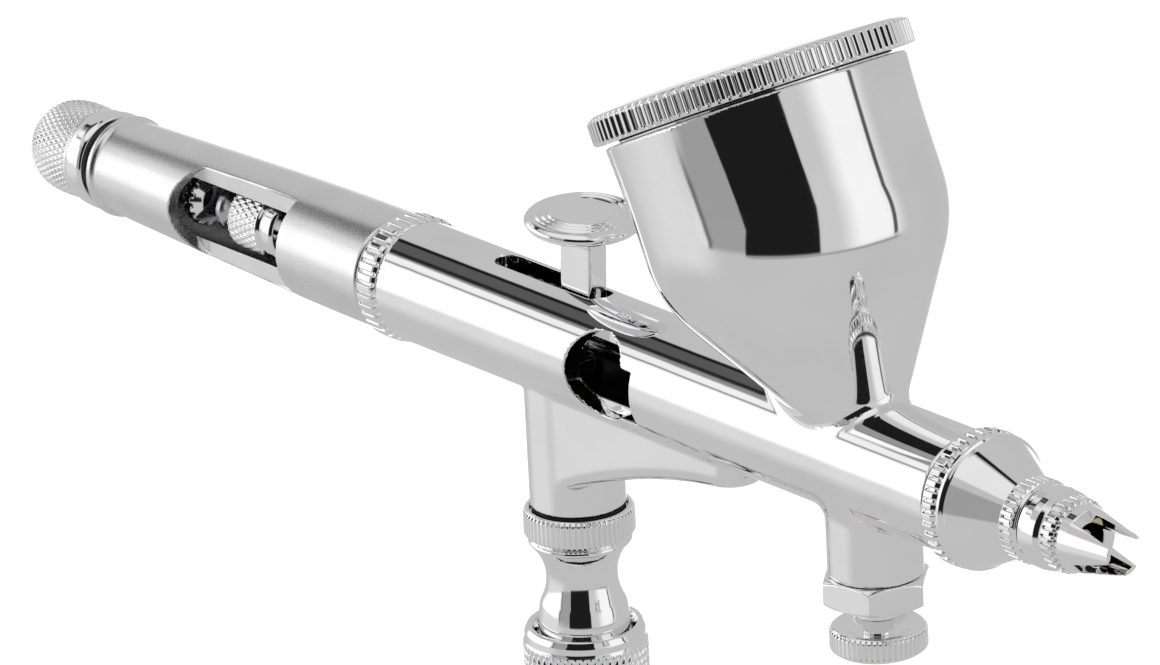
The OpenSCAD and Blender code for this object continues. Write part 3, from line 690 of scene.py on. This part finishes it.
add("stop_knob", lathe([
    (-84.0, 0), (-83.95, 1.2), (-83.45, 2.8), (-82.5, 3.9), (-81.4, 4.52), (-80.0, 4.82), (-78.4, 4.88),
    (-76.1, 4.76, 0.2), (-75.75, 4.6, 0.1), (-75.45, 4.82, 0.15), (-74.8, 5.03, 0.4),
    (-73.2, 5.1, 0.3), (-72.75, 4.8, 0.12), (-72.7, 2.4, 0.1), (-71.7, 2.4, 0.1), (-71.7, 1.5, 0.1),
    (-58.4, 1.5, 0.1), (-58.4, 0)],
    480, diamonds(48, 0.66 * 2, 0.17, -83.7, -75.8, 1.5), 0.8, 0.09, closed=False), "chrome", ALONG_X)
add("stop_tip", lathe([
    (-58.38, 0), (-58.38, 2.6), (-58.1, 2.8), (-57.1, 2.8), (-56.75, 2.2), (-56.4, 1.6), (-56.4, 0)], 192,
    flutes(16, 0.34, -58.3, -56.9, 2.4), 0.15, 0.15, closed=False), "chrome", ALONG_X)
add("knob_o_ring", lathe([(-72.65, 2.45), (-72.65, 4.1), (-71.75, 4.1), (-71.75, 2.45)], 96, soft=0.3),
    "rubber", ALONG_X)

# ---------- air valve ----------

# the waist is an arc of radius 5.1
WAIST = [(-24.4 + 5.1 * math.sin(math.radians(a)), 8.6 + 5.1 * math.cos(math.radians(a)))
    for a in range(132, 218, 8)]
add("valve_body", lathe([
    (-17.7, 4.8), (-17.1, 4.8), (-17.1, 5.15), (-17.5, 5.45), (-19.7, 5.45), (-20.1, 5.0), (-20.15, 4.75)]
    + [(z, r, 9) for z, r in WAIST] + [
    (-28.5, 4.45, 0.2), (-29.9, 4.5), (-30.2, 3.95), (-32.6, 3.95, 0.05), (-32.85, 3.6, 0.2),
    (-33.4, 3.52, 0.2), (-33.95, 3.6, 0.2), (-34.2, 3.95, 0.05), (-34.6, 3.95), (-35.2, 3.5), (-35.2, 1.5),
    (-33.4, 1.5), (-33.4, 2.2), (-20.75, 2.2), (-20.75, 1.35), (-20.2, 1.35), (-20.2, 2.6), (-17.7, 2.6)],
    60 * 10, flutes(60, 0.26, -19.9, -17.2, 5.0), 0.14, 0.35), "chrome")
add("valve_spring", coil(1.6, 0.22, 7, 7.8), "steel", Matrix.Translation((0, 0, -30.3)))

# ---------- front air control ----------


def mac_housing(x, y, z):
    u = x - MAC_X
    r = np.hypot(u, y)
    flats = np.full(np.shape(x), -9.0)
    for k in range(3):
        a = math.radians(12 + 30 + 60 * k)
        flats = np.maximum(flats, np.abs(u * math.cos(a) + y * math.sin(a)) - 4.72)
    nut = smax(flats, between(z, -14.3, -11.62), 0.12)
    bevel = np.maximum(r - 4.85 - (z + 14.3) * 1.7, r - 4.85 + (z + 11.62) * 1.7) * 0.51
    nut = smax(nut, bevel, 0.12)
    d = np.minimum(nut, rod(u, y, z, 3.18, -11.7, -7.8, 0.2))
    d = smin(d, rod(u, y, z, 2.1, -15.9, -14.2, 0.1), 0.25)
    d = smax(d, -rod(u, y, z, 1.55, -18, -9.4, 0.1), 0.1)
    return smax(d, -(np.maximum(r - 0.9, -12 - z)), 0.1)


add("mac_housing", surface_net(mac_housing, (38.9, -5.7, -16.2), (50.3, 5.7, -7.5), 0.13), "chrome")
MAC = Matrix.Translation((MAC_X, 0, 0))
add("mac_screw", lathe([
    (-19.3, 0), (-19.3, 4.2), (-18.95, 4.65), (-17.2, 4.65), (-16.85, 4.3), (-16.75, 4.05), (-17.55, 2.1),
    (-17.6, 1.5), (-10.8, 1.5), (-10.8, 1.1), (-8.6, 0.5), (-8.6, 0)],
    52 * 10, flutes(52, 0.26, -19.1, -17.0, 4.1), 0.12, 0.25, closed=False), "chrome", MAC)

# ---------- hose coupler ----------

add("coupler_sleeve", lathe([
    (-46.4, 4.65), (-46.4, 5.4), (-46.0, 5.8), (-44.8, 5.8), (-44.4, 6.1), (-31.05, 6.1), (-30.8, 5.92),
    (-30.0, 5.92), (-29.4, 5.62), (-29.4, 5.15), (-30.6, 4.65), (-34.5, 4.65), (-34.6, 5.25),
    (-38.2, 5.25), (-38.3, 4.65),
    (-40.3, 4.65), (-40.4, 5.25), (-46.35, 5.25)],
    432, diamonds(48, 0.8 * 2, 0.22, -44.4, -31.0, 5.95), 0.14, 0.11), "chrome")


def thread(pitch, depth, lo, hi, least):
    """A single-start thread on the outside between two heights."""
    def relief(angle, h, r, along):
        t = (h / pitch - angle / TAU) % 1
        return -depth * np.clip(1.25 - 2.5 * np.abs(t - 0.5), 0, 1) * window(h, lo, hi, 0.5) * (r > least)
    return relief


add("coupler_body", lathe([
    (-31.4, 4.0), (-31.4, 4.55), (-45.55, 4.55), (-45.6, 4.2), (-46.3, 4.2), (-46.35, 4.55), (-49.4, 4.55),
    (-49.4, 5.0), (-49.9, 5.5), (-51.3, 5.5), (-51.8, 5.0), (-51.8, 4.86), (-57.0, 4.86), (-57.0, 2.3),
    (-36.2, 2.3), (-36.2, 4.0)],
    144, thread(0.907, 0.5, -57.2, -51.9, 4.8), 0.1, 0.09), "brass")
add("coupler_spring", coil(4.9, 0.22, 5, 5.0), "steel", Matrix.Translation((0, 0, -45.5)))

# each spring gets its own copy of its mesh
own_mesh(bpy.data.objects["valve_spring_look"])
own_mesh(bpy.data.objects["needle_spring_look"])
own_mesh(bpy.data.objects["coupler_spring_look"])

# small turned parts that are right as the CAD has them get their finish
KEPT = {
    "nozzle_seal": "ptfe", "needle_packing": "ptfe", "packing_screw": "brass", "trigger_pin": "steel",
    "aux_pin": "steel", "valve_washer": "rubber", "valve_plunger": "steel", "plunger_bush": "brass",
    "plunger_o_ring": "rubber", "valve_retainer": "brass", "mac_o_ring": "rubber", "coupler_balls": "steel",
    "coupler_clip": "steel", "coupler_o_ring": "rubber"}
for node, slot in KEPT.items():
    mesh = frame["nodes"][node].data
    mesh.materials.clear()
    mesh.materials.append(FINISH[slot])

# ---------- stage, light and camera ----------


def plain(name, color, rough=0.6):
    mat = bpy.data.materials.new(name)
    mat.use_nodes = True
    bsdf = mat.node_tree.nodes["Principled BSDF"]
    bsdf.inputs["Base Color"].default_value = (*color, 1)
    bsdf.inputs["Roughness"].default_value = rough
    bsdf.inputs["Specular IOR Level"].default_value = 0.0
    return mat


def card(name, centre, facing, width, height, mat, seen=True):
    """A flat stage card of the given size that faces a point."""
    w, h = width / 2, height / 2
    mesh = bpy.data.meshes.new(name)
    mesh.from_pydata([(-w, -h, 0), (w, -h, 0), (w, h, 0), (-w, h, 0)], [], [(0, 1, 2, 3)])
    mesh.materials.append(mat)
    obj = bpy.data.objects.new(name, mesh)
    bpy.context.scene.collection.objects.link(obj)
    obj.location = centre
    obj.rotation_mode = "QUATERNION"
    obj.rotation_quaternion = (Vector(facing) - Vector(centre)).to_track_quat("Z", "Y")
    obj.visible_camera = seen
    return obj


FLOOR = plain("floor_white", (0.92, 0.92, 0.92), 0.7)
floor = card("floor", (0, 0, cad_box[0].z), (0, 0, 1), 8, 8, FLOOR)
floor.visible_glossy = False

world = bpy.data.worlds.new("studio")
bpy.context.scene.world = world
world.use_nodes = True
sky, wires = world.node_tree.nodes, world.node_tree.links
heading = sky.new("ShaderNodeTexCoord").outputs["Generated"]


def math_node(kind, a, b=None):
    node = sky.new("ShaderNodeMath")
    node.operation = kind
    for socket, value in zip(node.inputs, (a, b)):
        if isinstance(value, (int, float)):
            socket.default_value = value
        elif value is not None:
            wires.new(value, socket)
    return node.outputs[0]


def fade(value, centre, half, soft):
    """1 within half of the centre, falling smoothly to 0 over soft."""
    node = sky.new("ShaderNodeMapRange")
    node.interpolation_type = "SMOOTHSTEP"
    wires.new(math_node("ABSOLUTE", math_node("SUBTRACT", value, math.radians(centre))), node.inputs["Value"])
    for key, number in zip(("From Min", "From Max", "To Min", "To Max"), (
            math.radians(half - soft / 2), math.radians(half + soft / 2), 1.0, 0.0)):
        node.inputs[key].default_value = number
    return node.outputs["Result"]


xyz = sky.new("ShaderNodeSeparateXYZ")
wires.new(heading, xyz.inputs[0])
elevation = math_node("ARCSINE", xyz.outputs["Z"])
light = 0.56
# panels of the light tent: heading and elevation of the middle, their half widths, softness of each, brightness
PANELS = [
    (-138, -12, 34, 14, 30, 16, 0.76),
    (-142, 9, 34, 16, 16, 8, 1.25),
    (-148, 26.5, 22, 1.0, 8, 0.9, 0.32),
    (-150, 30.5, 20, 3.0, 10, 2.0, 0.95),
    (-150, 36, 12, 2.5, 6, 2.0, 0.28),
    (-169, 55, 13.5, 21, 3, 4, 0.1),
    (-158.5, 55, 2.4, 21, 2.5, 4, 0.02),
    (-179, 55, 2.6, 21, 2.5, 4, 0.01),
    (-80, 68, 60, 21.5, 20, 4, 0.85),
    (97, 84, 75, 3.0, 10, 2, 0.01),
    (-90, 12, 14, 22, 4, 5, 0.36),
    (-104, 12, 1.6, 22, 3, 4, 0.16),
    (-49, 16, 27.5, 28, 1.5, 4, 0.012),
    (-4, 16, 17, 28, 3, 4, 0.62),
    (22, 16, 20, 28, 22, 6, 1.0),
    (39, 16, 1.8, 27, 1.6, 4, 0.1),
    (-16, -13, 58, 0.9, 8, 1.6, 0.34),
    (132, -16, 12, 14, 8, 6, 1.1),
]
for head, lift, wide, tall, soft_w, soft_t, bright in PANELS:
    spin = sky.new("ShaderNodeVectorRotate")
    spin.rotation_type = "Z_AXIS"
    spin.inputs["Angle"].default_value = -math.radians(head)
    wires.new(heading, spin.inputs["Vector"])
    turned = sky.new("ShaderNodeSeparateXYZ")
    wires.new(spin.outputs[0], turned.inputs[0])
    bearing = math_node("ARCTAN2", turned.outputs["Y"], turned.outputs["X"])
    cover = math_node("MULTIPLY", fade(bearing, 0, wide, soft_w), fade(elevation, lift, tall, soft_t))
    step = math_node("MULTIPLY", cover, math_node("SUBTRACT", bright, light))
    light = math_node("ADD", step, light)
wires.new(light, sky["Background"].inputs["Strength"])
sky["Background"].inputs["Color"].default_value = (1, 1, 1, 1)

sun = bpy.data.objects.new("overhead", bpy.data.lights.new("overhead", "SUN"))
bpy.context.scene.collection.objects.link(sun)
sun.data.energy = 2.4
sun.data.angle = math.radians(40)
sun.rotation_mode = "QUATERNION"
sun.rotation_quaternion = Vector((-0.45, 0.35, 1.0)).to_track_quat("Z", "Y")
sun.visible_glossy = False

AZ, EL, ROLL = math.radians(52), math.radians(20.6), math.radians(-3.0)
DISTANCE = 1000
SENSOR, FOCAL, IMAGE_WIDTH = 36, 10395, 1160
right = Vector((math.cos(AZ), math.sin(AZ), 0))
back = Vector((math.sin(AZ) * math.cos(EL), -math.cos(AZ) * math.cos(EL), math.sin(EL)))
up = back.cross(right)
right, up = (right * math.cos(ROLL) + up * math.sin(ROLL), up * math.cos(ROLL) - right * math.sin(ROLL))
camera = bpy.data.objects.new("camera", bpy.data.cameras.new("camera"))
bpy.context.scene.collection.objects.link(camera)
aim = right * 0.973 + up * 0.545 + back * DISTANCE
turn = Matrix((right, up, back)).transposed().to_4x4()
camera.matrix_world = Matrix.Translation(ORIGIN + aim * MM) @ turn
camera.data.sensor_width = SENSOR
camera.data.lens = SENSOR * FOCAL / IMAGE_WIDTH
bpy.context.scene.camera = camera
bpy.context.scene.view_settings.view_transform = "Standard"
